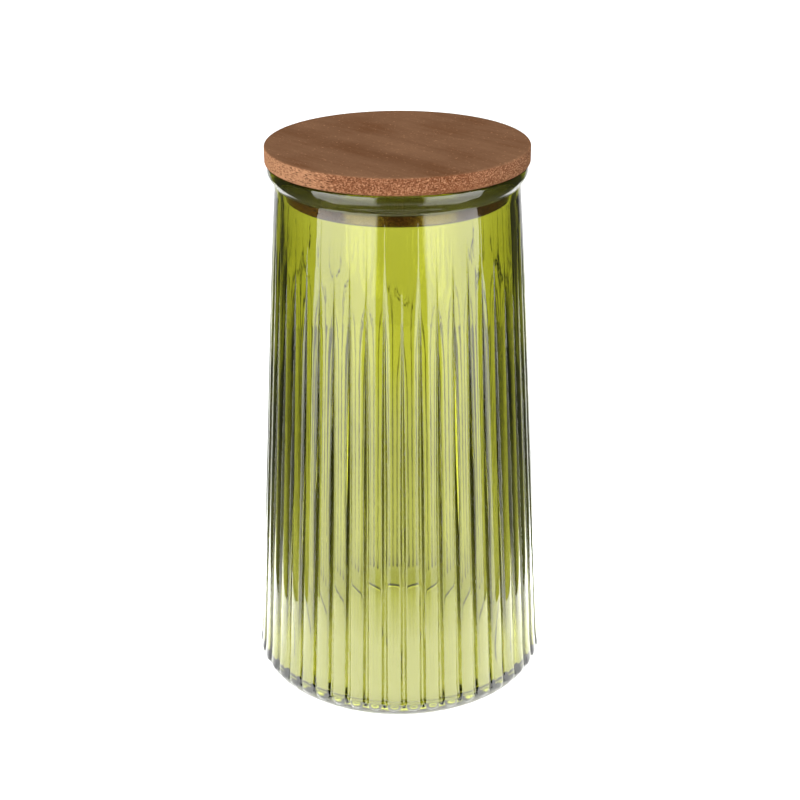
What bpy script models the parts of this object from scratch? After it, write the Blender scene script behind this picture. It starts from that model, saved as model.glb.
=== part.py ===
"""A pressed glass storage jar with moulded reeds and a push-in wooden lid with a soft seal.

Metres, +Z up. The origin is the centre of the base, on the surface that the jar stands on.
"""

import math

import bmesh
import bpy

# Jar, outside
JAR_HEIGHT = 0.2167
FOOT_RADIUS = 0.0597
FOOT_CORNER_HEIGHT = 0.0052
BEARING_RADIUS = 0.0543
SKIRT_RADIUS = 0.0607
NECK_RADIUS = 0.0478
COLLAR_PROJECTION = 0.0026
NECK_LENGTH = 0.0031
COLLAR_FACE_HEIGHT = 0.0030
COLLAR_ROUNDING_HEIGHT = 0.0042
COLLAR_LEAN_SHARE = 0.45
RIM_ROUNDING = 0.0011

# Jar, inside
NECK_WALL = 0.0033
INNER_FLOOR_HEIGHT = 0.0048
INNER_CORNER = 0.0044
RECESS_RADIUS = 0.0487
RECESS_DEPTH = 0.0020
RECESS_SLOPE_WIDTH = 0.0020

# Flare of the wall: share of the height from foot to neck, share of the difference between skirt and neck
FLARE_SHARES = (
    (0.0, 1.0),
    (0.04, 0.925),
    (0.12, 0.850),
    (0.38, 0.595),
    (0.70, 0.310),
    (0.92, 0.092),
    (1.0, 0.0),
)

# Wall: share of the height from foot to neck, thickness measured from the crests of the reeds
WALL_THICKNESSES = (
    (0.0, 0.0028),
    (0.25, 0.0032),
    (0.60, 0.0040),
    (0.88, 0.0042),
    (1.0, NECK_WALL),
)

# Reeds: convex bands moulded on the outside, parted by narrow V grooves that fade out towards the neck
REED_COUNT = 48
REED_ROUNDNESS = 0.0120
GROOVE_DEPTH = 0.0015
GROOVE_HALF_WIDTH = 0.0012
GROOVE_TOP_MARGIN = 0.0160
GROOVE_FULL_SHARE = 0.60
REED_FOOT_HEIGHT = 0.0056
REED_END_LENGTH = 0.0014
REED_FRONT_TURN = math.radians(1.6)

# Lid
LID_RADIUS = 0.0513
LID_THICKNESS = 0.0070
LID_EDGE_ROUNDING = 0.0009
PLUG_DEPTH = 0.0140
PLUG_CHAMFER = 0.0008
PLUG_CLEARANCE = 0.0015
CHANNEL_DEPTH = 0.0018
CHANNEL_HEIGHT = 0.0076
CHANNEL_DROP = 0.0020

# Seal
SEAL_BAND_THICKNESS = 0.0013
SEAL_LIP_COUNT = 3
SEAL_LIP_ROOT = 0.0013
SEAL_LIP_TIP = 0.0005

# Gap between pieces that touch
SEAT_GAP = 0.0003

# Facets
ROUND_STEPS = 96
SEAL_STEPS = 72
CORNER_STEPS = 4
ROUNDING_STEPS = 3

# Heights of the wall's rows, as shares of the stretch that each list covers
REED_END_ROW_SHARES = (0.0, 0.25, 1.0)
REED_BODY_ROW_SHARES = (0.04, 0.11, 0.22, 0.36, 0.50, 0.64, 0.78, 0.89, 0.96, 1.0)
COLLAR_ROW_SHARES = (0.0, 0.2, 0.4, 0.6, 0.8, 1.0)
BORE_ROW_SHARES = (0.92, 0.72, 0.46, 0.2)
GROOVE_TIP_WIDTH_SHARE = 0.2

# Sizes that follow
COLLAR_BOTTOM = JAR_HEIGHT - COLLAR_FACE_HEIGHT - COLLAR_ROUNDING_HEIGHT
NECK_HEIGHT = COLLAR_BOTTOM - NECK_LENGTH
COLLAR_RADIUS = NECK_RADIUS + COLLAR_PROJECTION
MOUTH_RADIUS = NECK_RADIUS - NECK_WALL
LID_UNDERSIDE = JAR_HEIGHT + SEAT_GAP
PLUG_RADIUS = MOUTH_RADIUS - PLUG_CLEARANCE
PLUG_TOP = LID_UNDERSIDE - SEAT_GAP
PLUG_BOTTOM = LID_UNDERSIDE - PLUG_DEPTH
CHANNEL_RADIUS = PLUG_RADIUS - CHANNEL_DEPTH
CHANNEL_TOP = LID_UNDERSIDE - CHANNEL_DROP
CHANNEL_BOTTOM = CHANNEL_TOP - CHANNEL_HEIGHT
REED_FULL_HEIGHT = REED_FOOT_HEIGHT + REED_END_LENGTH
GROOVE_TOP = NECK_HEIGHT - GROOVE_TOP_MARGIN


def clear_scene():
    for old in list(bpy.context.scene.objects):
        bpy.data.objects.remove(old, do_unlink=True)


def make_material(name, colour, roughness, metallic=0.0, transmission=0.0, ior=1.5):
    material = bpy.data.materials.new(name)
    material.use_nodes = True
    shader = material.node_tree.nodes["Principled BSDF"]
    shader.inputs["Base Color"].default_value = (*colour, 1.0)
    shader.inputs["Roughness"].default_value = roughness
    shader.inputs["Metallic"].default_value = metallic
    shader.inputs["Transmission Weight"].default_value = transmission
    shader.inputs["IOR"].default_value = ior
    material.diffuse_color = (*colour, 1.0)
    return material


def between(start, end, share):
    return start + (end - start) * share


def smooth_through(points, x):
    """Height at x of a smooth curve through the points, whose x values rise."""
    last = len(points) - 1
    i = 0
    while i < last - 1 and x > points[i + 1][0]:
        i += 1
    x0, y0 = points[i]
    x1, y1 = points[i + 1]
    x_before, y_before = points[max(i - 1, 0)]
    x_after, y_after = points[min(i + 2, last)]
    slope0 = (y1 - y_before) / (x1 - x_before)
    slope1 = (y_after - y0) / (x_after - x0)
    t = (x - x0) / (x1 - x0)
    span = x1 - x0
    ease = t * t * (3 - 2 * t)
    bend0 = t * (1 - t) ** 2 * span * slope0
    bend1 = t * t * (t - 1) * span * slope1
    return between(y0, y1, ease) + bend0 + bend1


def wall_share(height):
    """Where a height lies between the foot, 0, and the neck, 1."""
    share = (height - FOOT_CORNER_HEIGHT) / (NECK_HEIGHT - FOOT_CORNER_HEIGHT)
    return min(max(share, 0.0), 1.0)


def wall_radius(height):
    """Outer radius of the wall on the crests of the reeds."""
    return between(NECK_RADIUS, SKIRT_RADIUS, smooth_through(FLARE_SHARES, wall_share(height)))


def bore_radius(height):
    """Inner radius of the wall."""
    return wall_radius(height) - smooth_through(WALL_THICKNESSES, wall_share(height))


def foot_outline():
    """Rounded lower edge, from the bearing face up to the upright wall."""
    points = []
    for step in range(CORNER_STEPS + 1):
        turn = math.radians(90) * step / CORNER_STEPS
        radius = between(BEARING_RADIUS, FOOT_RADIUS, math.sin(turn))
        points.append((radius, FOOT_CORNER_HEIGHT * (1 - math.cos(turn))))
    return points


def foot_radius(height):
    """Outer radius on the rounded lower edge and on the plain foot over it."""
    rise = max(0.0, 1 - height / FOOT_CORNER_HEIGHT)
    return between(BEARING_RADIUS, FOOT_RADIUS, math.sqrt(max(0.0, 1 - rise * rise)))


def collar_outline():
    """From the neck out over the collar's rounded lower edge, up its face and over the rim into the mouth."""
    points = []
    for share in COLLAR_ROW_SHARES:
        rest = 1 - share
        swell = 1 - between(rest * rest, rest, COLLAR_LEAN_SHARE)
        height = COLLAR_BOTTOM + COLLAR_ROUNDING_HEIGHT * share
        points.append((NECK_RADIUS + COLLAR_PROJECTION * swell, height))
    for step in range(ROUNDING_STEPS + 1):
        turn = math.radians(90) * step / ROUNDING_STEPS
        radius = COLLAR_RADIUS - RIM_ROUNDING * (1 - math.cos(turn))
        points.append((radius, JAR_HEIGHT - RIM_ROUNDING * (1 - math.sin(turn))))
    for step in range(ROUNDING_STEPS + 1):
        turn = math.radians(90) * step / ROUNDING_STEPS
        radius = MOUTH_RADIUS + RIM_ROUNDING * (1 - math.sin(turn))
        points.append((radius, JAR_HEIGHT - RIM_ROUNDING * (1 - math.cos(turn))))
    return points


def bore_outline():
    """Down the inside of the wall, round the inner corner and in to the floor."""
    corner_height = INNER_FLOOR_HEIGHT + INNER_CORNER
    points = [(MOUTH_RADIUS, NECK_HEIGHT)]
    for share in BORE_ROW_SHARES:
        height = between(corner_height, NECK_HEIGHT, share)
        points.append((bore_radius(height), height))
    corner_radius = bore_radius(corner_height)
    for step in range(CORNER_STEPS + 1):
        turn = math.radians(90) * step / CORNER_STEPS
        radius = corner_radius - INNER_CORNER * (1 - math.cos(turn))
        points.append((radius, corner_height - INNER_CORNER * math.sin(turn)))
    return points


def add_ring(bm, places):
    """One closed row of points, given as angle, radius and height."""
    ring = []
    for angle, radius, height in places:
        ring.append(bm.verts.new((radius * math.cos(angle), radius * math.sin(angle), height)))
    return ring


def groove_angles():
    """Direction of the middle of each groove. The first lies beside the front, which faces -Y."""
    front = math.radians(-90) + REED_FRONT_TURN
    return [front + math.tau * groove / REED_COUNT for groove in range(REED_COUNT)]


def plain_ring(bm, radius, height):
    """A row with two points for each reed, evenly spaced."""
    places = []
    for angle in groove_angles():
        places.append((angle, radius, height))
        places.append((angle + math.pi / REED_COUNT, radius, height))
    return add_ring(bm, places)


def groove_share(height):
    """How much of their full depth the grooves have at a height."""
    fade_length = (GROOVE_TOP - REED_FULL_HEIGHT) * GROOVE_FULL_SHARE
    return min(1.0, max(0.0, (GROOVE_TOP - height) / fade_length))


def end_share(height):
    """How far the reeds stand out at a height on their rounded lower ends."""
    run = 1 - (height - REED_FOOT_HEIGHT) / REED_END_LENGTH
    return math.sqrt(max(0.0, 1 - max(0.0, run) ** 2))


def reeded_ring(bm, height):
    """A row with four points for each reed: the groove's floor and edge, the crest and the next edge."""
    crest = wall_radius(height)
    depth = GROOVE_DEPTH * groove_share(height)
    roundness = groove_share(height) ** 2 / (2 * REED_ROUNDNESS)
    half_pitch = crest * math.pi / REED_COUNT
    edge = GROOVE_HALF_WIDTH * max(GROOVE_TIP_WIDTH_SHARE, math.sqrt(groove_share(height)))
    shoulder = crest - roundness * (half_pitch - edge) ** 2
    out = end_share(height)
    foot = foot_radius(height)
    floor = between(foot, crest - depth, out)
    side = between(foot, shoulder, out)
    places = []
    for angle in groove_angles():
        places.append((angle, floor, height))
        places.append((angle + edge / crest, side, height))
        places.append((angle + math.pi / REED_COUNT, between(foot, crest, out), height))
        places.append((angle + math.tau / REED_COUNT - edge / crest, side, height))
    return add_ring(bm, places)


def join_equal(bm, first, second):
    count = len(first)
    for i in range(count):
        after = (i + 1) % count
        bm.faces.new((first[i], first[after], second[after], second[i]))


def join_plain_to_reeded(bm, plain, reeded, plain_first):
    """Faces between a row of two points for each reed and a row of four."""
    faces = []
    for reed in range(REED_COUNT):
        after = (reed + 1) % REED_COUNT
        p0, p1, p2 = plain[2 * reed], plain[2 * reed + 1], plain[2 * after]
        floor0, edge0, crest, edge1 = reeded[4 * reed : 4 * reed + 4]
        floor1 = reeded[4 * after]
        faces.append((p0, edge0, floor0))
        faces.append((p0, p1, crest, edge0))
        faces.append((p1, edge1, crest))
        faces.append((p1, p2, floor1, edge1))
    for corners in faces:
        bm.faces.new(corners if plain_first else tuple(reversed(corners)))


def reeded_heights():
    """Heights of the rows that carry the reeds, from their rounded ends to the tips of the grooves."""
    heights = [between(REED_FOOT_HEIGHT, REED_FULL_HEIGHT, share) for share in REED_END_ROW_SHARES]
    heights += [between(REED_FULL_HEIGHT, GROOVE_TOP, share) for share in REED_BODY_ROW_SHARES]
    return heights


def finish_object(name, bm, material):
    bmesh.ops.recalc_face_normals(bm, faces=bm.faces)
    mesh = bpy.data.meshes.new(name)
    bm.to_mesh(mesh)
    bm.free()
    mesh.shade_smooth()
    mesh.set_sharp_from_angle(angle=math.radians(40))
    mesh.materials.append(material)
    piece = bpy.data.objects.new(name, mesh)
    bpy.context.scene.collection.objects.link(piece)
    return piece


def make_jar(material):
    bm = bmesh.new()
    recess_floor = plain_ring(bm, RECESS_RADIUS - RECESS_SLOPE_WIDTH, RECESS_DEPTH)
    bm.faces.new(list(reversed(recess_floor)))
    previous = recess_floor
    lower = [(RECESS_RADIUS, 0.0)]
    lower += [place for place in foot_outline() if place[1] < REED_FOOT_HEIGHT]
    for radius, height in lower:
        ring = plain_ring(bm, radius, height)
        join_equal(bm, previous, ring)
        previous = ring
    for index, height in enumerate(reeded_heights()):
        ring = reeded_ring(bm, height)
        if index == 0:
            join_plain_to_reeded(bm, previous, ring, True)
        else:
            join_equal(bm, previous, ring)
        previous = ring
    upper = [(NECK_RADIUS, NECK_HEIGHT)] + collar_outline() + bore_outline()
    for index, (radius, height) in enumerate(upper):
        ring = plain_ring(bm, radius, height)
        if index == 0:
            join_plain_to_reeded(bm, ring, previous, False)
        else:
            join_equal(bm, previous, ring)
        previous = ring
    bm.faces.new(previous)
    return finish_object("glass_jar", bm, material)


def make_turned(name, outline, steps, material, closed=False):
    """A solid of revolution about Z. An open outline starts and ends on the axis."""
    bm = bmesh.new()
    verts = [bm.verts.new((radius, 0.0, height)) for radius, height in outline]
    pairs = list(zip(verts, verts[1:]))
    if closed:
        pairs.append((verts[-1], verts[0]))
    edges = [bm.edges.new(pair) for pair in pairs]
    bmesh.ops.spin(
        bm,
        geom=verts + edges,
        axis=(0, 0, 1),
        cent=(0, 0, 0),
        steps=steps,
        angle=math.tau,
        use_merge=True,
    )
    bmesh.ops.remove_doubles(bm, verts=bm.verts, dist=SEAT_GAP / 30)
    return finish_object(name, bm, material)


def rounded_edge(radius, height, rounding, start_degrees):
    """A quarter round with its centre at the radius and height, starting at an angle in the profile."""
    points = []
    for step in range(ROUNDING_STEPS + 1):
        turn = math.radians(start_degrees + 90 * step / ROUNDING_STEPS)
        points.append((radius + rounding * math.cos(turn), height + rounding * math.sin(turn)))
    return points


def make_lid_disc(material):
    top = LID_UNDERSIDE + LID_THICKNESS
    inner = LID_RADIUS - LID_EDGE_ROUNDING
    outline = [(0.0, LID_UNDERSIDE)]
    outline += rounded_edge(inner, LID_UNDERSIDE + LID_EDGE_ROUNDING, LID_EDGE_ROUNDING, -90)
    outline += rounded_edge(inner, top - LID_EDGE_ROUNDING, LID_EDGE_ROUNDING, 0)
    outline.append((0.0, top))
    return make_turned("lid_disc", outline, ROUND_STEPS, material)


def make_lid_plug(material):
    outline = [
        (0.0, PLUG_BOTTOM),
        (PLUG_RADIUS - PLUG_CHAMFER, PLUG_BOTTOM),
        (PLUG_RADIUS, PLUG_BOTTOM + PLUG_CHAMFER),
        (PLUG_RADIUS, CHANNEL_BOTTOM),
        (CHANNEL_RADIUS, CHANNEL_BOTTOM),
        (CHANNEL_RADIUS, CHANNEL_TOP),
        (PLUG_RADIUS, CHANNEL_TOP),
        (PLUG_RADIUS, PLUG_TOP),
        (0.0, PLUG_TOP),
    ]
    return make_turned("lid_plug", outline, ROUND_STEPS, material)


def make_seal_ring(material):
    """A band in the plug's channel with lips that reach the mouth's wall."""
    bottom = CHANNEL_BOTTOM + SEAT_GAP
    top = CHANNEL_TOP - SEAT_GAP
    inner = CHANNEL_RADIUS + SEAT_GAP
    band = inner + SEAL_BAND_THICKNESS
    tip = MOUTH_RADIUS - SEAT_GAP
    outline = [(inner, bottom), (band, bottom)]
    for lip in range(SEAL_LIP_COUNT):
        middle = between(bottom, top, (lip + 0.5) / SEAL_LIP_COUNT)
        outline.append((band, middle - SEAL_LIP_ROOT / 2))
        outline.append((tip, middle - SEAL_LIP_TIP / 2))
        outline.append((tip, middle + SEAL_LIP_TIP / 2))
        outline.append((band, middle + SEAL_LIP_ROOT / 2))
    outline += [(band, top), (inner, top)]
    return make_turned("seal_ring", outline, SEAL_STEPS, material, closed=True)


def make_lid_pivot(pieces):
    """Empty at the centre of the lid's seat, which the whole lid is lifted by."""
    pivot = bpy.data.objects.new("lid_lift", None)
    pivot.location = (0.0, 0.0, LID_UNDERSIDE)
    bpy.context.scene.collection.objects.link(pivot)
    bpy.context.view_layer.update()
    for piece in pieces:
        piece.parent = pivot
        piece.matrix_parent_inverse = pivot.matrix_world.inverted()


def build():
    clear_scene()
    green_glass = make_material("green_glass", (0.42, 0.47, 0.04), 0.03, transmission=1.0, ior=1.52)
    face_wood = make_material("face_wood", (0.22, 0.11, 0.06), 0.55)
    plug_wood = make_material("plug_wood", (0.25, 0.12, 0.06), 0.6)
    silicone = make_material("silicone", (0.62, 0.62, 0.56), 0.4)
    make_jar(green_glass)
    lid = [make_lid_disc(face_wood), make_lid_plug(plug_wood), make_seal_ring(silicone)]
    make_lid_pivot(lid)


build()
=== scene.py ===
import math

import bmesh
import bpy
import numpy as np
from mathutils import Euler, Matrix


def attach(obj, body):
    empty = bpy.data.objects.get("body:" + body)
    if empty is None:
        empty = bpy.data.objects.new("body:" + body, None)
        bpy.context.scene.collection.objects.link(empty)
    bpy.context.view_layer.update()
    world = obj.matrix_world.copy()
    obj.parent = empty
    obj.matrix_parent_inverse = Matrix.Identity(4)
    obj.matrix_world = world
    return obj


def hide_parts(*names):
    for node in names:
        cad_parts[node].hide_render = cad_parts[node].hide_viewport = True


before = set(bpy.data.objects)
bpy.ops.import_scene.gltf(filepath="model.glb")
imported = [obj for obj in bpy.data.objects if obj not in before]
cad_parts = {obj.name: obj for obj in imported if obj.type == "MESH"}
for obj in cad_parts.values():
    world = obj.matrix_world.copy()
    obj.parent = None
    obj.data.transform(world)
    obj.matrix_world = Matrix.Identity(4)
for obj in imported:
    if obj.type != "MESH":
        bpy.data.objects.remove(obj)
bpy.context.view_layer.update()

# Jar, outside
JAR_HEIGHT = 0.2167
FOOT_RADIUS = 0.0597
FOOT_CORNER_HEIGHT = 0.0052
FOOT_CORNER_TURN = math.radians(60)
BEARING_RADIUS = 0.0543
SKIRT_RADIUS = 0.0607
NECK_RADIUS = 0.0478
NECK_BLEND = 0.0010
COLLAR_PROJECTION = 0.0026
NECK_LENGTH = 0.0031
COLLAR_FACE_HEIGHT = 0.0030
COLLAR_ROUNDING_HEIGHT = 0.0042
COLLAR_LEAN_SHARE = 0.45
COLLAR_CORNER_SHARE = 0.10
RIM_ROUNDING = 0.0011

# Jar, inside
NECK_WALL = 0.0033
INNER_FLOOR_HEIGHT = 0.0048
INNER_CORNER = 0.0044
RECESS_RADIUS = 0.0487
RECESS_DEPTH = 0.0015
RECESS_SLOPE_WIDTH = 0.0035

# Radius of the wall, as shares of the height from the foot to the neck and of the flare
FLARE_SHARES = (
    (0.0, 1.0),
    (0.04, 0.925),
    (0.12, 0.850),
    (0.38, 0.595),
    (0.70, 0.310),
    (0.92, 0.092),
    (1.0, 0.0),
)

# Thickness of the wall against the share of the height from the foot to the neck
WALL_THICKNESSES = (
    (0.0, 0.0028),
    (0.25, 0.0032),
    (0.60, 0.0040),
    (0.88, 0.0042),
    (1.0, 0.0033),
)

# Reeds and the grooves between them
REED_COUNT = 48
REED_ROUNDNESS = 0.0120
CROWN_GROWTH = 2.5
GROOVE_DEPTH = 0.0020
GROOVE_FLANK = math.radians(60)
GROOVE_FLOOR_ROUNDING = 0.00035
GROOVE_FOOT_ROUNDING = 0.0007
WIDE_GROOVE_TOP = 0.060
WIDE_GROOVE_FULL_HEIGHT = 0.010
GROOVE_TOP = 0.1904
GROOVE_FULL_HEIGHT = 0.0950
GROOVE_EDGE_ROUNDING = 0.00006
REED_END = 0.0044
REED_END_BULGE = 0.0020
REED_HALF_BAND = 0.0026
GROOVE_END = 0.0060
GROOVE_END_BULGE = 0.0012
GROOVE_END_HALF = 0.0013
END_LENGTH = 0.0036
REED_FRONT_TURN = math.radians(1.6)
TIP_SPREAD_SHARE = 0.08
BACK_TIP_SHARE = 0.30
TIP_SEED = 7

# Unevenness of the bore: number of waves round the jar, share of the height, drift and start
BORE_WAVE = 0.00002
BORE_WAVE_PITCH = 0.040
BORE_WAVE_SHARES = (
    (5, 0.45, 0.7, 0.0),
    (11, 0.30, -1.1, 1.3),
    (23, 0.25, 0.5, 4.0),
    (41, 0.20, -0.3, 2.2),
)

# Lid
LID_UNDERSIDE = 0.2170
LID_RADIUS = 0.0513
LID_THICKNESS = 0.0070
LID_EDGE_ROUNDING = 0.0009
PLUG_DEPTH = 0.0140
PLUG_CHAMFER = 0.0008
PLUG_RADIUS = 0.0430
CHANNEL_DEPTH = 0.0018
CHANNEL_HEIGHT = 0.0076
CHANNEL_DROP = 0.0020
SEAL_BAND_THICKNESS = 0.0013
SEAL_LIP_COUNT = 3
SEAL_LIP_ROOT = 0.0013
SEAL_LIP_TIP = 0.0005
SEAT_GAP = 0.0003

COLLAR_BOTTOM = JAR_HEIGHT - COLLAR_FACE_HEIGHT - COLLAR_ROUNDING_HEIGHT
NECK_HEIGHT = COLLAR_BOTTOM - NECK_LENGTH
COLLAR_RADIUS = NECK_RADIUS + COLLAR_PROJECTION
MOUTH_RADIUS = NECK_RADIUS - NECK_WALL
CHANNEL_RADIUS = PLUG_RADIUS - CHANNEL_DEPTH
CHANNEL_TOP = LID_UNDERSIDE - CHANNEL_DROP
CHANNEL_BOTTOM = CHANNEL_TOP - CHANNEL_HEIGHT
HALF_REED_TURN = math.pi / REED_COUNT

# Rows of points up the reeded wall, close together where the reeds end: from, to and count
WALL_ROWS = (
    (0.0034, 0.0099, 27),
    (0.0110, 0.0300, 8),
    (0.0350, 0.1950, 44),
    (0.1980, NECK_HEIGHT - NECK_BLEND, 4),
)
# Rows from below the collar's rounding to its top
COLLAR_ROW_SHARES = (*np.linspace(-0.35, 0.20, 12), *np.linspace(0.25, 1.0, 16))
# Columns of points from a groove's middle to the crest of a reed
COLUMN_SHARES = (0.0, 0.035, 0.07, 0.11, 0.15, 0.19, 0.22, 0.25, 0.28, 0.32, 0.40, 0.52, 0.66, 0.83, 1.0)
# Rings of points across the flat middle of the recess, of the floor and of the board
RECESS_RING_SHARES = (0.0, 0.3, 0.6)
FLOOR_RING_SHARES = (0.7, 0.35, 0.0)
BOARD_RING_SHARE = 0.6
RECESS_STEPS = 8
FOOT_CORNER_STEPS = 8
INNER_CORNER_STEPS = 16
BORE_ROWS = 40
ARC_STEPS = 6
DISC_STEPS = 256
SEAL_STEPS = 192
SHARP_EDGE = math.radians(40)
MERGE_DISTANCE = 1e-6


# Shapes

def between(start, end, share):
    return start + (end - start) * share


def smooth_through(points, x):
    """Height at x of a smooth curve through the points."""
    last = len(points) - 1
    i = 0
    while i < last - 1 and x > points[i + 1][0]:
        i += 1
    x0, y0 = points[i]
    x1, y1 = points[i + 1]
    x_before, y_before = points[max(i - 1, 0)]
    x_after, y_after = points[min(i + 2, last)]
    slope0 = (y1 - y_before) / (x1 - x_before)
    slope1 = (y_after - y0) / (x_after - x0)
    t = (x - x0) / (x1 - x0)
    span = x1 - x0
    ease = t * t * (3 - 2 * t)
    bend0 = t * (1 - t) ** 2 * span * slope0
    bend1 = t * t * (t - 1) * span * slope1
    return between(y0, y1, ease) + bend0 + bend1


def wall_share(height):
    share = (height - FOOT_CORNER_HEIGHT) / (NECK_HEIGHT - FOOT_CORNER_HEIGHT)
    return min(max(share, 0.0), 1.0)


def wall_radius(height):
    """Outer radius of the wall on the crests of the reeds."""
    return between(NECK_RADIUS, SKIRT_RADIUS, smooth_through(FLARE_SHARES, wall_share(height)))


def bore_radius(height):
    return wall_radius(height) - smooth_through(WALL_THICKNESSES, wall_share(height))


def foot_radius(height):
    """Outer radius of the plain rounded foot below the reeds."""
    rise = max(0.0, 1 - height / FOOT_CORNER_HEIGHT)
    return between(BEARING_RADIUS, FOOT_RADIUS, math.sqrt(max(0.0, 1 - rise * rise)))


def arc_points(centre_radius, centre_height, radius, start, end, steps):
    turns = np.radians(np.linspace(start, end, steps + 1))
    return [(centre_radius + radius * math.cos(t), centre_height + radius * math.sin(t)) for t in turns]


def rounded_end(start, bulge, to_middle, half_width):
    """Height of a rounded end, lowest in its middle and one bulge higher at its sides."""
    return start + bulge * (1 - np.sqrt(np.clip(1 - (to_middle / half_width) ** 2, 0, 1)))


def reeded_radius(to_crest, to_groove, height, strength):
    """Outer radius for the distances along the wall to the crest and to the groove's middle."""
    share = np.clip((GROOVE_TOP - height) / (GROOVE_TOP - GROOVE_FULL_HEIGHT) + strength, 0, 1)
    crown = np.minimum(1.0, CROWN_GROWTH * share) * to_crest ** 2 / (2 * REED_ROUNDNESS)
    low = (WIDE_GROOVE_TOP - height) / (WIDE_GROOVE_TOP - WIDE_GROOVE_FULL_HEIGHT)
    rounding = between(GROOVE_FLOOR_ROUNDING, GROOVE_FOOT_ROUNDING, min(1.0, max(0.0, low)))
    bend = rounding * math.sin(GROOVE_FLANK)
    floor = rounding - np.sqrt(rounding ** 2 - np.minimum(to_groove, bend) ** 2)
    flank = np.maximum(to_groove - bend, 0) * math.tan(GROOVE_FLANK)
    groove = GROOVE_DEPTH * share - floor - flank
    blend = np.sqrt((crown - groove) ** 2 + GROOVE_EDGE_ROUNDING ** 2)
    radius = wall_radius(height) - 0.5 * (crown + groove + blend)
    if height > 2 * GROOVE_END:
        return radius
    reed_end = rounded_end(REED_END, REED_END_BULGE, to_crest, REED_HALF_BAND)
    groove_end = rounded_end(GROOVE_END, GROOVE_END_BULGE, to_groove, GROOVE_END_HALF)
    end = np.where(to_groove < GROOVE_END_HALF, groove_end, reed_end)
    run = np.clip((height - end) / END_LENGTH, 0, 1)
    foot = foot_radius(height)
    return foot + np.sqrt(1 - (1 - run) ** 2) * (radius - foot)


def bore_wave(angles, height):
    """Slight unevenness of the inside of the wall."""
    phase = height / BORE_WAVE_PITCH
    wave = 0.0
    for count, share, drift, start in BORE_WAVE_SHARES:
        wave = wave + share * np.sin(count * angles + drift * phase + start)
    return BORE_WAVE * wave


def mesh_object(name, mesh, sharp_angle=None):
    mesh.shade_smooth()
    if sharp_angle:
        mesh.set_sharp_from_angle(angle=sharp_angle)
    piece = bpy.data.objects.new(name, mesh)
    bpy.context.scene.collection.objects.link(piece)
    return piece


def write_mesh(bm, mesh):
    """Close the seams and the middles of the discs, turn the faces outwards and fill the mesh."""
    bmesh.ops.remove_doubles(bm, verts=bm.verts, dist=MERGE_DISTANCE)
    bmesh.ops.recalc_face_normals(bm, faces=bm.faces)
    bm.to_mesh(mesh)
    bm.free()


def jar_outline():
    """Rows from the middle of the base, up the outside and down the inside to the middle of the floor."""
    rows = [(RECESS_RADIUS * share, RECESS_DEPTH, "plain") for share in RECESS_RING_SHARES]
    slope_start = RECESS_RADIUS - RECESS_SLOPE_WIDTH
    for share in np.linspace(0, 1, RECESS_STEPS + 1):
        height = RECESS_DEPTH * (1 + math.cos(math.pi * share)) / 2
        rows.append((between(slope_start, RECESS_RADIUS, share), height, "plain"))
    rows.append((between(RECESS_RADIUS, BEARING_RADIUS, 0.5), 0.0, "plain"))
    for turn in np.linspace(0, FOOT_CORNER_TURN, FOOT_CORNER_STEPS + 1):
        radius = between(BEARING_RADIUS, FOOT_RADIUS, math.sin(turn))
        rows.append((radius, FOOT_CORNER_HEIGHT * (1 - math.cos(turn)), "plain"))

    for low, high, count in WALL_ROWS:
        rows += [(0.0, height, "reeded") for height in np.linspace(low, high, count)]
    rows.append((NECK_RADIUS, NECK_HEIGHT, "plain"))
    for share in COLLAR_ROW_SHARES:
        rest = 1 - share
        swell = 1 - between(rest * rest, rest, COLLAR_LEAN_SHARE)
        swell = (swell + math.sqrt(swell * swell + COLLAR_CORNER_SHARE ** 2)) / 2
        height = COLLAR_BOTTOM + COLLAR_ROUNDING_HEIGHT * share
        rows.append((NECK_RADIUS + COLLAR_PROJECTION * min(swell, 1.0), height, "plain"))
    rim = JAR_HEIGHT - RIM_ROUNDING
    rim_points = arc_points(COLLAR_RADIUS - RIM_ROUNDING, rim, RIM_ROUNDING, 0, 90, ARC_STEPS)
    rim_points += arc_points(MOUTH_RADIUS + RIM_ROUNDING, rim, RIM_ROUNDING, 90, 180, ARC_STEPS)
    rows += [(*place, "plain") for place in rim_points]

    corner = INNER_FLOOR_HEIGHT + INNER_CORNER
    for height in np.linspace(NECK_HEIGHT, corner, BORE_ROWS):
        rows.append((bore_radius(height), height, "bore"))
    floor_radius = bore_radius(corner) - INNER_CORNER
    corner_points = arc_points(floor_radius, corner, INNER_CORNER, 0, -90, INNER_CORNER_STEPS)
    rows += [(*place, "plain") for place in corner_points[1:]]
    rows += [(floor_radius * share, INNER_FLOOR_HEIGHT, "plain") for share in FLOOR_RING_SHARES]
    return rows


def reed_columns():
    """Angle of each column of points, its share of the way to the crest, and how far up its groove runs."""
    half = np.array(COLUMN_SHARES)
    columns = np.concatenate([half, 2 - half[-2:0:-1]])
    first_groove = REED_FRONT_TURN - math.pi / 2
    reeds = np.arange(REED_COUNT)[:, None]
    angles = ((2 * reeds + columns[None, :]) * HALF_REED_TURN).ravel() + first_groove
    groove_shares = np.tile(np.minimum(columns, 2 - columns), REED_COUNT)
    dice = np.random.RandomState(TIP_SEED)
    groove_turns = np.arange(REED_COUNT) * 2 * HALF_REED_TURN + first_groove
    tips = TIP_SPREAD_SHARE * dice.uniform(-1, 1, REED_COUNT)
    tips = tips - BACK_TIP_SHARE * np.maximum(0, np.sin(groove_turns)) ** 4
    strength = np.where(columns[None, :] <= 1, tips[:, None], np.roll(tips, -1)[:, None]).ravel()
    return angles, groove_shares, strength


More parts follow.
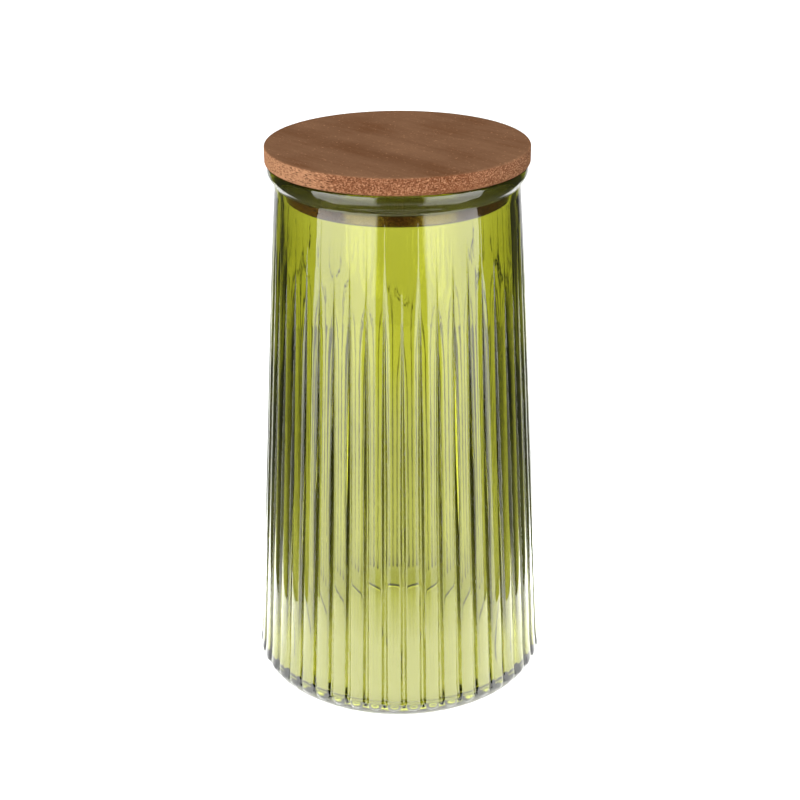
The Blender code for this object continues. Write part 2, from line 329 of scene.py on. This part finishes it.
def build_jar():
    angles, groove_shares, strength = reed_columns()
    rings = []
    for radius, height, kind in jar_outline():
        radii = np.full(angles.shape, radius)
        if kind == "reeded":
            half_pitch = wall_radius(height) * HALF_REED_TURN
            to_groove = groove_shares * half_pitch
            radii = reeded_radius(half_pitch - to_groove, to_groove, height, strength)
        if kind == "bore":
            radii = radii + bore_wave(angles, height)
        heights = np.full(angles.shape, height)
        rings.append(np.stack([radii * np.cos(angles), radii * np.sin(angles), heights], 1))
    count = len(angles)
    first = np.arange(count)
    after = (first + 1) % count
    faces = []
    for row in range(len(rings) - 1):
        low, high = row * count, (row + 1) * count
        faces += np.stack([low + first, low + after, high + after, high + first], 1).tolist()
    mesh = bpy.data.meshes.new("jar_glass")
    mesh.from_pydata(np.concatenate(rings).tolist(), [], faces)
    bm = bmesh.new()
    bm.from_mesh(mesh)
    write_mesh(bm, mesh)
    return mesh_object("jar_glass", mesh)


def build_turned(name, outline, steps, closed=False):
    """Solid turned from an outline of radii and heights."""
    bm = bmesh.new()
    verts = [bm.verts.new((radius, 0.0, height)) for radius, height in outline]
    pairs = list(zip(verts, verts[1:]))
    if closed:
        pairs.append((verts[-1], verts[0]))
    edges = [bm.edges.new(pair) for pair in pairs]
    bmesh.ops.spin(
        bm,
        geom=verts + edges,
        axis=(0, 0, 1),
        cent=(0, 0, 0),
        steps=steps,
        angle=math.tau,
        use_merge=True,
    )
    mesh = bpy.data.meshes.new(name)
    write_mesh(bm, mesh)
    return mesh_object(name, mesh, SHARP_EDGE)


def build_disc():
    top = LID_UNDERSIDE + LID_THICKNESS
    inner = LID_RADIUS - LID_EDGE_ROUNDING
    outline = [(0.0, LID_UNDERSIDE), (inner * BOARD_RING_SHARE, LID_UNDERSIDE)]
    outline += arc_points(inner, LID_UNDERSIDE + LID_EDGE_ROUNDING, LID_EDGE_ROUNDING, -90, 0, ARC_STEPS)
    outline += arc_points(inner, top - LID_EDGE_ROUNDING, LID_EDGE_ROUNDING, 0, 90, ARC_STEPS)
    outline += [(inner * BOARD_RING_SHARE, top), (0.0, top)]
    return build_turned("lid_board", outline, DISC_STEPS)


def build_plug():
    bottom = LID_UNDERSIDE - PLUG_DEPTH
    outline = [
        (0.0, bottom),
        (PLUG_RADIUS - PLUG_CHAMFER, bottom),
        (PLUG_RADIUS, bottom + PLUG_CHAMFER),
        (PLUG_RADIUS, CHANNEL_BOTTOM),
        (CHANNEL_RADIUS, CHANNEL_BOTTOM),
        (CHANNEL_RADIUS, CHANNEL_TOP),
        (PLUG_RADIUS, CHANNEL_TOP),
        (PLUG_RADIUS, LID_UNDERSIDE - SEAT_GAP),
        (0.0, LID_UNDERSIDE - SEAT_GAP),
    ]
    return build_turned("lid_plug_board", outline, DISC_STEPS)


def build_seal():
    bottom = CHANNEL_BOTTOM + SEAT_GAP
    top = CHANNEL_TOP - SEAT_GAP
    inner = CHANNEL_RADIUS + SEAT_GAP
    band = inner + SEAL_BAND_THICKNESS
    tip = MOUTH_RADIUS - SEAT_GAP
    outline = [(inner, bottom), (band, bottom)]
    for lip in range(SEAL_LIP_COUNT):
        middle = between(bottom, top, (lip + 0.5) / SEAL_LIP_COUNT)
        outline.append((band, middle - SEAL_LIP_ROOT / 2))
        outline += arc_points(tip - SEAL_LIP_TIP / 2, middle, SEAL_LIP_TIP / 2, -90, 90, ARC_STEPS)
        outline.append((band, middle + SEAL_LIP_ROOT / 2))
    outline += [(band, top), (inner, top)]
    return build_turned("lid_seal", outline, SEAL_STEPS, closed=True)


# Materials

class Nodes:
    """Short way to add and join shader nodes in one tree."""

    def __init__(self, name):
        self.material = bpy.data.materials.new(name)
        self.material.use_nodes = True
        self.tree = self.material.node_tree
        self.shader = self.tree.nodes["Principled BSDF"]
        self.output = self.tree.nodes["Material Output"]

    def add(self, kind, inputs=None, **settings):
        node = self.tree.nodes.new("ShaderNode" + kind)
        for key, value in settings.items():
            setattr(node, key, value)
        for key, value in (inputs or {}).items():
            self.feed(node.inputs[key], value)
        return node

    def feed(self, socket, value):
        if isinstance(value, bpy.types.NodeSocket):
            self.tree.links.new(value, socket)
        else:
            socket.default_value = value

    def math(self, operation, *values):
        node = self.add("Math", operation=operation)
        for socket, value in zip(node.inputs, values):
            self.feed(socket, value)
        return node.outputs[0]

    def ramp(self, value, stops, colours):
        node = self.add("ValToRGB", {"Fac": value})
        elements = node.color_ramp.elements
        while len(elements) < len(stops):
            elements.new(0.5)
        for element, place, colour in zip(elements, stops, colours):
            element.position = place
            element.color = (*colour, 1.0)
        return node.outputs["Color"]

    def mix(self, share, first, second, blend="MIX"):
        node = self.add("Mix", data_type="RGBA", blend_type=blend)
        self.feed(node.inputs["Factor"], share)
        self.feed(node.inputs["A"], first if isinstance(first, bpy.types.NodeSocket) else (*first, 1.0))
        self.feed(node.inputs["B"], second if isinstance(second, bpy.types.NodeSocket) else (*second, 1.0))
        return node.outputs["Result"]

    def spread(self, value, ends):
        """Zero at the first end, one at the second."""
        node = self.add("MapRange", {"Value": value, "From Min": ends[0], "From Max": ends[1]})
        return node.outputs["Result"]

    def noise(self, place, scale, detail=3.0, roughness=0.5, distortion=0.0):
        inputs = {"Vector": place, "Scale": scale, "Detail": detail, "Roughness": roughness}
        return self.add("TexNoise", {**inputs, "Distortion": distortion}).outputs["Fac"]

    def stretched(self, place, scale):
        return self.add("Mapping", {"Vector": place, "Scale": scale}).outputs["Vector"]

    def own_places(self):
        return self.add("TexCoord").outputs["Object"]

    def bumps(self, height, strength, distance):
        node = self.add("Bump", {"Height": height, "Strength": strength, "Distance": distance})
        self.feed(self.shader.inputs["Normal"], node.outputs["Normal"])


WHITE = (1.0, 1.0, 1.0, 1.0)

# Glass: what a metre of it lets through is set by the tint and the density
GLASS_IOR = 1.52
GLASS_TINT = (0.787, 0.80, 0.0, 1.0)
GLASS_DENSITY = 385.0
RIPPLE_STRETCH = (1.0, 1.0, 0.12)
RIPPLE_SCALE = 260.0
RIPPLE_STRENGTH = 0.05
RIPPLE_HEIGHT = 0.0004

# Wood: the grain runs from the back left to the front right
GRAIN_TURN = math.radians(45)
LONG_GRAIN = (0.10, 1.0, 1.0)
SHORT_GRAIN = (0.25, 1.0, 1.0)
RING_SCALE = 70.0
BAND_SCALE = 420.0
PATCH_SCALE = 38.0
RING_SHARE = 0.30
BAND_SHARE = 0.25
PATCH_SHARE = 0.45
TONE_STOPS = (0.38, 0.50, 0.62)
STREAK_WANDER = 0.012
STREAK_WANDER_SCALE = 60.0
STREAK_BREAK_SCALE = 45.0
STREAK_BREAKS = (0.35, 0.60)
STREAK_DARKNESS = 0.85
PORE_SCALE = 2300.0
PORE_ENDS = (0.50, 0.70)
PORE_DARKNESS = 0.35
PORES_ON_TOP = 0.15
PORES_ON_SIDE = 0.80
CHALK_ENDS = (0.52, 0.68)
CHALK_BRIGHTNESS = 2.1
CHALK_ON_TOP = 0.04
CHALK_ON_SIDE = 0.90
SPARK_SCALE = 1100.0
SPARK_ENDS = (0.70, 0.76)
SPARK_BRIGHTNESS = 2.6
SPARK_SHARE = 0.6
FIBRE_SCALE = 900.0
FIBRE_ROUGHNESS = 0.15
PORE_BUMP = -0.6
FIBRE_BUMP = 0.4
WOOD_BUMP_STRENGTH = 0.35
WOOD_BUMP_HEIGHT = 0.0004
WOOD_SHINE_TINT = (1.0, 0.78, 0.60, 1.0)
# The side of a disc: redder than its faces, with painted shade at the right and painted light at the left of
# the front
SIDE_NORMALS = (0.35, 0.80)
SIDE_TINT = (1.07, 0.77, 0.66)
SIDE_TINT_SHARE = 0.8
SHADE_TINT = (0.50, 0.66, 0.78)
SHADE_SHARE = 0.8
SHADE_START_SHARE = 0.15
SHADE_END_SHARE = -0.60
# Direction of the painted light across the side; the painted shade lies opposite
LIT_SIDE = (-0.866, -0.5, 0.0)
PAINTED_LIGHT_START_SHARE = 0.90
PAINTED_LIGHT_END_SHARE = 1.03
PAINTED_LIGHT_BRIGHTNESS = 2.0
LIT_SIDE_WANDER = 0.008
LIT_SIDE_WANDER_SCALE = 160.0

# Streaks: place across the grain, half width and strength
BOARD_WOOD = {
    "dark": (0.100, 0.045, 0.021),
    "middle": (0.122, 0.061, 0.032),
    "light": (0.142, 0.073, 0.039),
    "streaks": ((-0.0193, 0.0080, 0.60), (0.004, 0.003, 0.30)),
    "radius": LID_RADIUS,
    # share of painted light at the left of the board's side
    "painted_light_left": 0.75,
    "roughness": 0.42,
    "polish": 0.0,
}
# The plug's wood: the board's kind of wood made several times darker, as painted shade under the lid
PLUG_WOOD_PAINTED_SHADE = {
    "dark": (0.014, 0.005, 0.001),
    "middle": (0.024, 0.010, 0.002),
    "light": (0.036, 0.016, 0.003),
    "streaks": ((0.010, 0.005, 0.30),),
    "radius": PLUG_RADIUS,
    # share of painted light at the left of the plug's side
    "painted_light_left": 0.90,
    "roughness": 0.05,
    "polish": 1.0,
}

# Seal
SEAL_COLOUR = (0.90, 0.90, 0.85, 1.0)
SEAL_IOR = 1.41
SEAL_CLEARNESS = 0.97
SEAL_MOTTLE_SCALE = 900.0
SEAL_ROUGHNESS = 0.15
SEAL_MOTTLE_ROUGHNESS = 0.15
SEAL_BUMP_STRENGTH = 0.1
SEAL_BUMP_HEIGHT = 0.0002


def scaled(colour, factor):
    return tuple(factor * part for part in colour)


def glass_material():
    n = Nodes("green_glass_look")
    shader = n.shader
    shader.inputs["Base Color"].default_value = WHITE
    shader.inputs["Roughness"].default_value = 0.0
    shader.inputs["IOR"].default_value = GLASS_IOR
    shader.inputs["Transmission Weight"].default_value = 1.0
    ripple = n.noise(n.stretched(n.own_places(), RIPPLE_STRETCH), RIPPLE_SCALE, roughness=0.55)
    n.bumps(ripple, RIPPLE_STRENGTH, RIPPLE_HEIGHT)
    tint = n.add("VolumeAbsorption", {"Color": GLASS_TINT, "Density": GLASS_DENSITY})
    n.feed(n.output.inputs["Volume"], tint.outputs[0])
    return n.material


def grain_colour(n, turned, along, wood):
    """Rings, bands and patches of the wood, with broken darker streaks along the grain."""
    rings = n.noise(along, RING_SCALE, distortion=0.6)
    bands = n.noise(along, BAND_SCALE, detail=4.0, roughness=0.6, distortion=0.3)
    patches = n.noise(turned, PATCH_SCALE)
    tone = n.math("ADD", n.math("MULTIPLY", rings, RING_SHARE), n.math("MULTIPLY", bands, BAND_SHARE))
    tone = n.math("ADD", tone, n.math("MULTIPLY", patches, PATCH_SHARE))
    colour = n.ramp(tone, TONE_STOPS, (wood["dark"], wood["middle"], wood["light"]))
    wander = n.math("SUBTRACT", n.noise(along, STREAK_WANDER_SCALE), 0.5)
    across = n.add("SeparateXYZ", {"Vector": turned}).outputs["Y"]
    across = n.math("ADD", across, n.math("MULTIPLY", wander, STREAK_WANDER))
    broken = n.spread(n.noise(along, STREAK_BREAK_SCALE, detail=2.0), STREAK_BREAKS)
    for centre, half_width, strength in wood["streaks"]:
        line = n.math("ABSOLUTE", n.math("SUBTRACT", across, centre))
        streak = n.math("SUBTRACT", 1.0, n.spread(line, (0.0, half_width)))
        share = n.math("MULTIPLY", n.math("MULTIPLY", streak, broken), strength)
        colour = n.mix(share, colour, scaled(wood["dark"], STREAK_DARKNESS))
    return colour


def side_share(n):
    """One on the upright side of a disc, nothing on its faces."""
    normal = n.add("NewGeometry").outputs["Normal"]
    upward = n.math("ABSOLUTE", n.add("SeparateXYZ", {"Vector": normal}).outputs["Z"])
    return n.math("SUBTRACT", 1.0, n.spread(upward, SIDE_NORMALS))


def side_colour(n, colour, side, place, turned, wood):
    """End grain of the side: redder, with painted shade at the right and painted light at the left."""
    redder = n.mix(1.0, colour, SIDE_TINT, "MULTIPLY")
    colour = n.mix(n.math("MULTIPLY", side, SIDE_TINT_SHARE), colour, redder)
    radius = wood["radius"]
    leftward = n.add("VectorMath", {0: place, 1: LIT_SIDE}, operation="DOT_PRODUCT").outputs["Value"]
    wander = n.math("MULTIPLY", n.noise(turned, LIT_SIDE_WANDER_SCALE), LIT_SIDE_WANDER)
    leftward = n.math("ADD", leftward, wander)
    shaded = n.spread(leftward, (SHADE_START_SHARE * radius, SHADE_END_SHARE * radius))
    share = n.math("MULTIPLY", n.math("MULTIPLY", shaded, side), SHADE_SHARE)
    colour = n.mix(share, colour, n.mix(1.0, colour, SHADE_TINT, "MULTIPLY"))
    # Painted light: paler towards the left front of the side
    pale = n.spread(leftward, (PAINTED_LIGHT_START_SHARE * radius, PAINTED_LIGHT_END_SHARE * radius))
    share = n.math("MULTIPLY", n.math("MULTIPLY", pale, side), wood["painted_light_left"])
    return n.mix(share, colour, scaled(wood["light"], PAINTED_LIGHT_BRIGHTNESS))


def speckled_colour(n, colour, side, pores, turned, wood):
    """Dark pores and chalky dots, stronger on the end grain of the side, and a few bright sparks."""
    dots = n.spread(pores, PORE_ENDS)
    share = n.math("MULTIPLY", dots, n.math("MULTIPLY_ADD", side, PORES_ON_SIDE, PORES_ON_TOP))
    colour = n.mix(share, colour, scaled(wood["dark"], PORE_DARKNESS))
    chalk = n.spread(n.math("SUBTRACT", 1.0, pores), CHALK_ENDS)
    share = n.math("MULTIPLY", chalk, n.math("MULTIPLY_ADD", side, CHALK_ON_SIDE, CHALK_ON_TOP))
    colour = n.mix(share, colour, scaled(wood["light"], CHALK_BRIGHTNESS))
    sparks = n.spread(n.noise(turned, SPARK_SCALE, detail=1.0), SPARK_ENDS)
    return n.mix(n.math("MULTIPLY", sparks, SPARK_SHARE), colour, scaled(wood["light"], SPARK_BRIGHTNESS))


def wood_material(name, wood):
    """Hardwood in the round: long pores along the grain show as dots where the grain is cut across."""
    n = Nodes(name)
    shader = n.shader
    place = n.own_places()
    turned = n.add("Mapping", {"Vector": place, "Rotation": (0.0, 0.0, GRAIN_TURN)}).outputs["Vector"]
    along = n.stretched(turned, LONG_GRAIN)
    pores = n.noise(n.stretched(turned, SHORT_GRAIN), PORE_SCALE, detail=2.0, roughness=0.6)
    fibres = n.noise(along, FIBRE_SCALE, roughness=0.6)
    side = side_share(n)
    colour = grain_colour(n, turned, along, wood)
    colour = side_colour(n, colour, side, place, turned, wood)
    colour = speckled_colour(n, colour, side, pores, turned, wood)
    n.feed(shader.inputs["Base Color"], colour)
    rough = n.math("ADD", wood["roughness"], n.math("MULTIPLY", fibres, FIBRE_ROUGHNESS))
    n.feed(shader.inputs["Roughness"], rough)
    shader.inputs["Specular IOR Level"].default_value = wood["polish"]
    shader.inputs["Specular Tint"].default_value = WOOD_SHINE_TINT
    height = n.math("ADD", n.math("MULTIPLY", pores, PORE_BUMP), n.math("MULTIPLY", fibres, FIBRE_BUMP))
    n.bumps(height, WOOD_BUMP_STRENGTH, WOOD_BUMP_HEIGHT)
    return n.material


def seal_material():
    n = Nodes("silicone_look")
    shader = n.shader
    shader.inputs["Base Color"].default_value = SEAL_COLOUR
    shader.inputs["IOR"].default_value = SEAL_IOR
    shader.inputs["Transmission Weight"].default_value = SEAL_CLEARNESS
    mottle = n.noise(n.own_places(), SEAL_MOTTLE_SCALE)
    rough = n.math("ADD", SEAL_ROUGHNESS, n.math("MULTIPLY", mottle, SEAL_MOTTLE_ROUGHNESS))
    n.feed(shader.inputs["Roughness"], rough)
    n.bumps(mottle, SEAL_BUMP_STRENGTH, SEAL_BUMP_HEIGHT)
    return n.material


def place_piece(piece, material, body, node):
    piece.data.materials.append(material)
    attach(piece, body)
    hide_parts(node)


jar = build_jar()
place_piece(jar, glass_material(), "jar", "glass_jar")
place_piece(build_disc(), wood_material("face_wood_look", BOARD_WOOD), "lid", "lid_disc")
# The plug's darker wood is painted shade under the lid
place_piece(build_plug(), wood_material("plug_wood_painted_shade_look", PLUG_WOOD_PAINTED_SHADE), "lid", "lid_plug")
place_piece(build_seal(), seal_material(), "lid", "seal_ring")
jar.visible_shadow = False


# Studio

# Turns are in degrees from the front, rises in degrees above the horizon
STUDIO_TURN = 2.3
GAP_EDGE = 21.5
GAP_SOFTNESS = 2.5
PANEL_EDGE = 94.0
PANEL_SOFTNESS = 2.0
DARK_EDGE = 150.0
DARK_SOFTNESS = 6.0
INNER_EDGE = 55.0
INNER_SOFTNESS = 3.0
PANEL_RISE = (-24.0, -7.0)
INNER_RISE = (-10.0, -4.0)
ZENITH_RISE = (42.0, 50.0)
NADIR_RISE = (-60.0, -50.0)

GAP_LIGHT = 0.05
PANEL_LIGHT = 6.0
LOW_PANEL_LIGHT = 3.2
FRONT_LIGHT = 1.0
INNER_PANEL_LIGHT = 2.3
PLUG_PANEL_LIGHT = 5.0
DARK_LIGHT = 0.03
BACK_LIGHT = 1.0
ZENITH_LIGHT = 0.8
NADIR_LIGHT = 0.05
TABLE_GLOW = 5.5
FOOT_GLOW = 6.0
SIDE_GLOW = 3.6
UNDER_GLOW = 4.2
# Level of the table seen through the glass close to the jar: painted shadow of the jar
TABLE_SEEN_IN_JAR_SHADOW = 0.58

# Passes through glass under which light came off the inside of the wall, and off the plug
WALL_PASSES = 2.5
PLUG_PASSES = 4.5

# Table and cards: the corners are the least x and y and the greatest x and y
FLOOR_CORNERS = (-3.0, -3.0, 3.0, 3.0)
FLOOR_SHADE = 0.9
FLOOR_GRAIN_SCALE = 40.0
FLOOR_GRAIN_DARKNESS = 0.98
FLOOR_ROUGHNESS = 0.6
SHINE_CORNERS = (-0.45, -0.60, 0.45, 0.45)
SHINE_HEIGHT = -0.0002
SEEN_CORNERS = (-0.18, -0.209, 0.18, 0.40)
SEEN_HEIGHT = -0.0003
DARK_CARD_SIDE = 0.135
DARK_CARD_FRONT = -0.060
DARK_CARD_BACK = 0.120
DARK_CARD_BOTTOM = -0.001
DARK_CARD_TOP = 0.5

# Distances from the jar's axis between which the table's light changes
UNDER_ENDS = (0.054, 0.057)
NEAR_ENDS = (0.078, 0.098)
FAR_ENDS = (0.21, 0.13)
HAZE_ENDS = (0.60, 0.45)
# Painted shadow of the jar fades out between these distances
SEEN_SHADOW_ENDS = (0.10, 0.34)
# Places towards the front and distances aside between which it changes
FRONT_ENDS = (-0.030, -0.060)
SEEN_SIDE_ENDS = (0.120, 0.092)
# Shallow rays meet the whole glow near the jar, steep ones only where they are short
SHALLOW_ENDS = (0.28, 0.46)
SHORT_RAY_ENDS = (0.045, 0.025)
LONG_RAY_SHARE = 0.03
HAZE_SHARE = 0.2


def card(name, places):
    """Four-cornered sheet without thickness."""
    mesh = bpy.data.meshes.new(name)
    mesh.from_pydata(places, [], [(0, 1, 2, 3)])
    return mesh_object(name, mesh)


def flat_card(name, corners, height):
    low_x, low_y, high_x, high_y = corners
    outline = [(low_x, low_y), (high_x, low_y), (high_x, high_y), (low_x, high_y)]
    return card(name, [(x, y, height) for x, y in outline])


def upright_card(name, x):
    outline = [
        (DARK_CARD_FRONT, DARK_CARD_BOTTOM),
        (DARK_CARD_BACK, DARK_CARD_BOTTOM),
        (DARK_CARD_BACK, DARK_CARD_TOP),
        (DARK_CARD_FRONT, DARK_CARD_TOP),
    ]
    return card(name, [(x, y, height) for y, height in outline])


def floor_material(name, shade):
    """Nodes of a matt surface with a faint grain."""
    n = Nodes(name)
    colour = (shade, shade, shade)
    grain = n.noise(n.own_places(), FLOOR_GRAIN_SCALE, detail=2.0)
    n.feed(n.shader.inputs["Base Color"], n.mix(grain, colour, scaled(colour, FLOOR_GRAIN_DARKNESS)))
    n.shader.inputs["Roughness"].default_value = FLOOR_ROUGHNESS
    return n


def card_material(name):
    """Nodes of a black card that gives light of its own."""
    n = floor_material(name, 0.0)
    n.shader.inputs["Emission Color"].default_value = WHITE
    return n


def shine_material():
    """What the table adds to reflections: bright close to the jar, fading to a faint haze further off."""
    n = card_material("shine_look")
    place = n.own_places()
    away = n.add("VectorMath", {"Vector": place}, operation="LENGTH").outputs["Value"]
    near = n.math("SUBTRACT", 1.0, n.spread(away, NEAR_ENDS))
    front = n.spread(n.add("SeparateXYZ", {"Vector": place}).outputs["Y"], FRONT_ENDS)
    close = n.math("MULTIPLY_ADD", front, FOOT_GLOW - SIDE_GLOW, SIDE_GLOW)
    shallow = n.spread(n.add("LayerWeight", {"Blend": 0.5}).outputs["Facing"], SHALLOW_ENDS)
    short = n.spread(n.add("LightPath").outputs["Ray Length"], SHORT_RAY_ENDS)
    reach = n.math("MAXIMUM", shallow, short)
    close = n.math("MULTIPLY", close, n.math("MULTIPLY_ADD", reach, 1.0 - LONG_RAY_SHARE, LONG_RAY_SHARE))
    glow = n.math("ADD", TABLE_GLOW, n.math("MULTIPLY", near, n.math("SUBTRACT", close, TABLE_GLOW)))
    outside = n.spread(away, UNDER_ENDS)
    level = n.math("ADD", UNDER_GLOW, n.math("MULTIPLY", outside, n.math("SUBTRACT", glow, UNDER_GLOW)))
    n.feed(n.shader.inputs["Emission Strength"], level)
    haze = n.math("MULTIPLY", n.spread(away, HAZE_ENDS), HAZE_SHARE)
    far = n.math("MULTIPLY", n.math("MAXIMUM", n.spread(away, FAR_ENDS), haze), shallow)
    n.feed(n.shader.inputs["Alpha"], n.math("MAXIMUM", near, far))
    return n.material


def seen_material():
    """The table as seen through the glass: a little darker close to the jar, a painted shadow of the jar, and
    dark at its sides.
    """
    n = card_material("seen_look")
    place = n.own_places()
    away = n.add("VectorMath", {"Vector": place}, operation="LENGTH").outputs["Value"]
    # Painted shadow of the jar: darker close to the jar
    level = n.math("MULTIPLY_ADD", n.spread(away, SEEN_SHADOW_ENDS), 1.0 - TABLE_SEEN_IN_JAR_SHADOW, TABLE_SEEN_IN_JAR_SHADOW)
    aside = n.math("ABSOLUTE", n.add("SeparateXYZ", {"Vector": place}).outputs["X"])
    n.feed(n.shader.inputs["Emission Strength"], n.math("MULTIPLY", level, n.spread(aside, SEEN_SIDE_ENDS)))
    return n.material


def dark_material():
    n = card_material("dark_look")
    n.shader.inputs["Emission Strength"].default_value = DARK_LIGHT
    return n.material


def build_table():
    floor = flat_card("studio_floor", FLOOR_CORNERS, 0.0)
    floor.data.materials.append(floor_material("floor_look", FLOOR_SHADE).material)
    floor.visible_glossy = False
    floor.visible_transmission = False


def build_cards():
    """Cards that only the glass sees: the table's shine, the table through the glass and the dark sides."""
    shine = flat_card("table_shine", SHINE_CORNERS, SHINE_HEIGHT)
    shine.data.materials.append(shine_material())
    shine.visible_transmission = False
    seen = flat_card("table_seen", SEEN_CORNERS, SEEN_HEIGHT)
    seen.data.materials.append(seen_material())
    seen.visible_glossy = False
    sides = [upright_card("dark_side_left", -DARK_CARD_SIDE), upright_card("dark_side_right", DARK_CARD_SIDE)]
    dark_look = dark_material()
    for side in sides:
        side.data.materials.append(dark_look)
    for sheet in [shine, seen] + sides:
        sheet.visible_camera = False
        sheet.visible_shadow = False
        sheet.visible_diffuse = False


def studio_world():
    """Two tall soft panels before the jar, dark studio at the sides, pale paper behind."""
    world = bpy.data.worlds.new("studio")
    bpy.context.scene.world = world
    world.use_nodes = True
    tree = world.node_tree
    tree.nodes.clear()

    def math_node(operation, *values):
        node = tree.nodes.new("ShaderNodeMath")
        node.operation = operation
        for socket, value in zip(node.inputs, values):
            if isinstance(value, bpy.types.NodeSocket):
                tree.links.new(value, socket)
            else:
                socket.default_value = value
        return node.outputs[0]

    def step(value, ends):
        node = tree.nodes.new("ShaderNodeMapRange")
        node.interpolation_type = "SMOOTHSTEP"
        tree.links.new(value, node.inputs["Value"])
        node.inputs["From Min"].default_value = ends[0]
        node.inputs["From Max"].default_value = ends[1]
        return node.outputs[0]

    def past(value, edge, softness):
        return step(value, (edge - softness, edge + softness))

    def towards(first, second, share):
        return math_node("MULTIPLY_ADD", math_node("SUBTRACT", second, first), share, first)

    direction = tree.nodes.new("ShaderNodeTexCoord").outputs["Generated"]
    parts = tree.nodes.new("ShaderNodeSeparateXYZ")
    tree.links.new(direction, parts.inputs[0])
    x, y, z = parts.outputs
    turn = math_node("DEGREES", math_node("ARCTAN2", x, math_node("MULTIPLY", y, -1.0)))
    aside = math_node("ABSOLUTE", math_node("SUBTRACT", turn, STUDIO_TURN))
    rise = math_node("DEGREES", math_node("ARCSINE", z))
    light_path = tree.nodes.new("ShaderNodeLightPath")
    passes = light_path.outputs["Transmission Depth"]

    # The panels as the outside of the glass mirrors them
    panel = towards(LOW_PANEL_LIGHT, PANEL_LIGHT, step(rise, PANEL_RISE))
    panels = towards(GAP_LIGHT, panel, past(aside, GAP_EDGE, GAP_SOFTNESS))
    # The panels as the inside of the glass and the plug mirror them
    inner = towards(INNER_PANEL_LIGHT, PLUG_PANEL_LIGHT, math_node("GREATER_THAN", passes, WALL_PASSES))
    inner = towards(GAP_LIGHT, inner, past(aside, GAP_EDGE, GAP_SOFTNESS))
    inner = towards(inner, DARK_LIGHT, past(aside, INNER_EDGE, INNER_SOFTNESS))
    inner = towards(inner, DARK_LIGHT, step(rise, INNER_RISE))
    mirrored = math_node("COMPARE", light_path.outputs["Glossy Depth"], 1.0, 0.5)
    mirrored = math_node("MULTIPLY", mirrored, math_node("LESS_THAN", passes, PLUG_PASSES))
    through = towards(FRONT_LIGHT, inner, mirrored)

    light = towards(panels, through, light_path.outputs["Is Transmission Ray"])
    light = towards(light, DARK_LIGHT, past(aside, PANEL_EDGE, PANEL_SOFTNESS))
    light = towards(light, BACK_LIGHT, past(aside, DARK_EDGE, DARK_SOFTNESS))
    light = towards(light, ZENITH_LIGHT, step(rise, ZENITH_RISE))
    light = towards(NADIR_LIGHT, light, step(rise, NADIR_RISE))
    colour = tree.nodes.new("ShaderNodeCombineColor")
    for socket in colour.inputs:
        tree.links.new(light, socket)
    studio = tree.nodes.new("ShaderNodeBackground")
    tree.links.new(colour.outputs[0], studio.inputs["Color"])
    paper = tree.nodes.new("ShaderNodeBackground")
    paper.inputs["Color"].default_value = WHITE
    shown = tree.nodes.new("ShaderNodeMixShader")
    tree.links.new(light_path.outputs["Is Camera Ray"], shown.inputs[0])
    tree.links.new(studio.outputs[0], shown.inputs[1])
    tree.links.new(paper.outputs[0], shown.inputs[2])
    tree.links.new(shown.outputs[0], tree.nodes.new("ShaderNodeOutputWorld").inputs[0])


# Camera, fitted to the lid's ellipse and the outline of the wall in the photo
PICTURE_WIDTH_PIXELS = 800
FOCAL_LENGTH_PIXELS = 1621
SENSOR_WIDTH_MM = 36.0
CAMERA_PLACE = (0.00056, -0.6105, 0.3812)
CAMERA_TILT = math.radians(66.5)
CAMERA_ROLL = math.radians(-0.25)
GLASS_BOUNCES = 24
CARD_BOUNCES = 16


def place_camera():
    camera_data = bpy.data.cameras.new("photo_camera")
    camera = bpy.data.objects.new("photo_camera", camera_data)
    bpy.context.scene.collection.objects.link(camera)
    camera_data.sensor_width = SENSOR_WIDTH_MM
    camera_data.lens = SENSOR_WIDTH_MM * FOCAL_LENGTH_PIXELS / PICTURE_WIDTH_PIXELS
    camera.location = CAMERA_PLACE
    tilt = Euler((CAMERA_TILT, 0.0, 0.0)).to_matrix()
    camera.rotation_euler = (tilt @ Matrix.Rotation(CAMERA_ROLL, 3, "Z")).to_euler()
    bpy.context.scene.camera = camera


build_table()
build_cards()
studio_world()
place_camera()

scene = bpy.context.scene
scene.view_settings.view_transform = "Standard"
scene.cycles.max_bounces = GLASS_BOUNCES
scene.cycles.transmission_bounces = GLASS_BOUNCES
scene.cycles.transparent_max_bounces = CARD_BOUNCES
